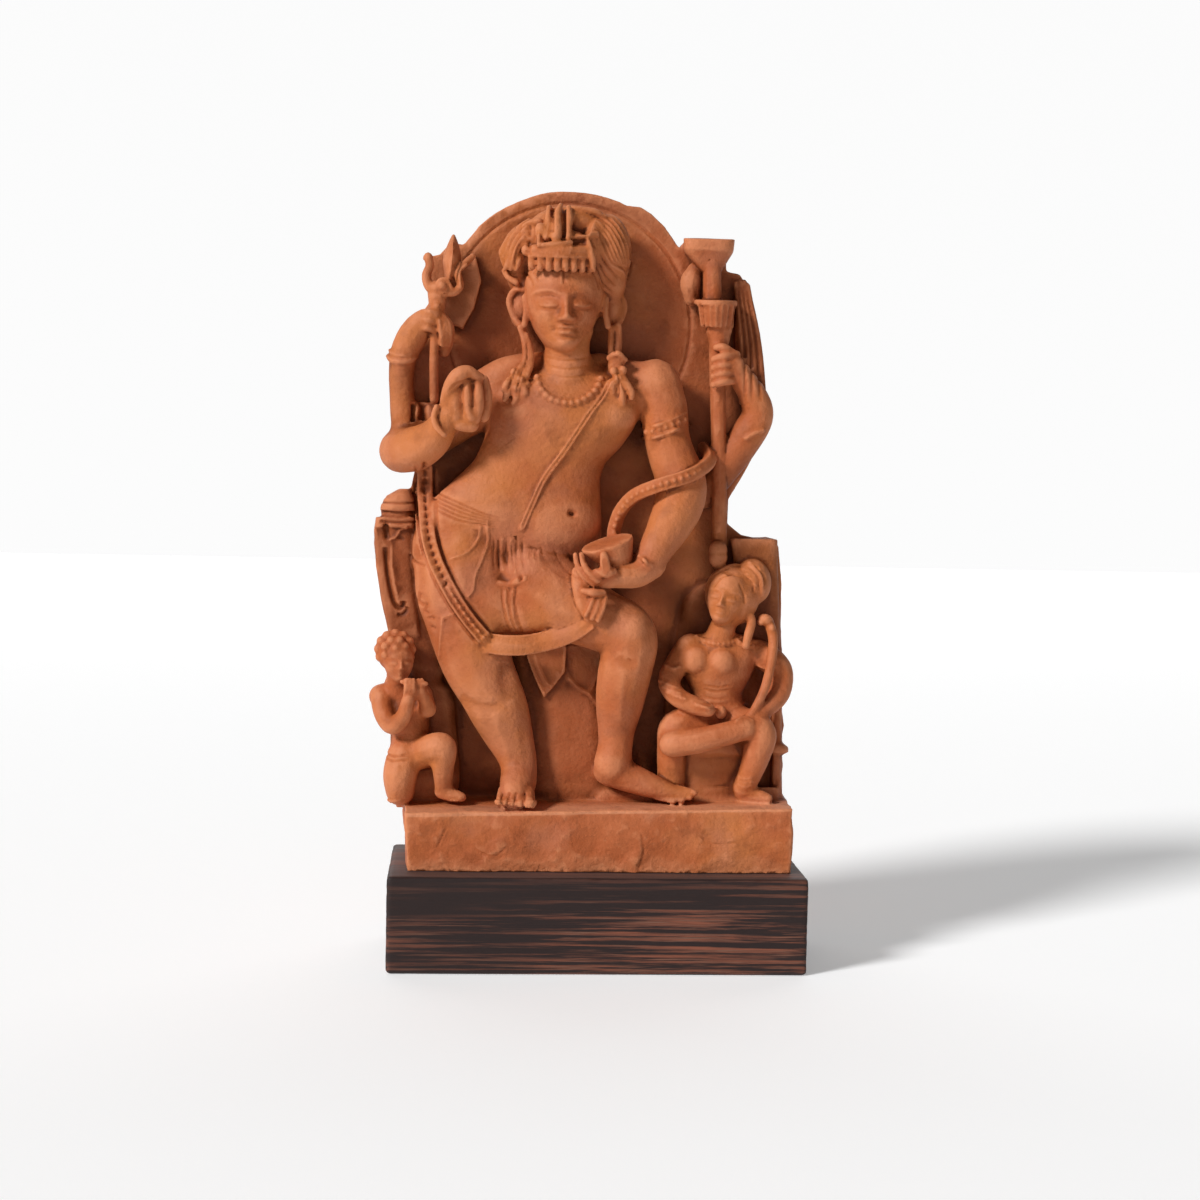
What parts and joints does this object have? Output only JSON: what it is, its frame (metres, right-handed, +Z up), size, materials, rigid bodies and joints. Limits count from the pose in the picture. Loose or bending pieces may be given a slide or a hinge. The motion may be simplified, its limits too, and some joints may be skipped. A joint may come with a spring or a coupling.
{
  "type": "nataraja statue",
  "caption": "Upright relief of a dancing four-armed deity with two attendants, cast in one with its plinth, standing on a stained wooden block.",
  "frame": {"origin": "centre of the wooden block's underside", "axes": "+Z up, +X to the right of someone who faces the relief, -Y the way the relief faces"},
  "size_m": [0.2587, 0.105, 0.4572],
  "materials": {
    "terracotta": "matte",
    "dark_wood": "satin"
  },
  "bodies": {
    "root": {"statue": "terracotta", "wooden_base": "dark_wood"}
  },
  "joints": []
}
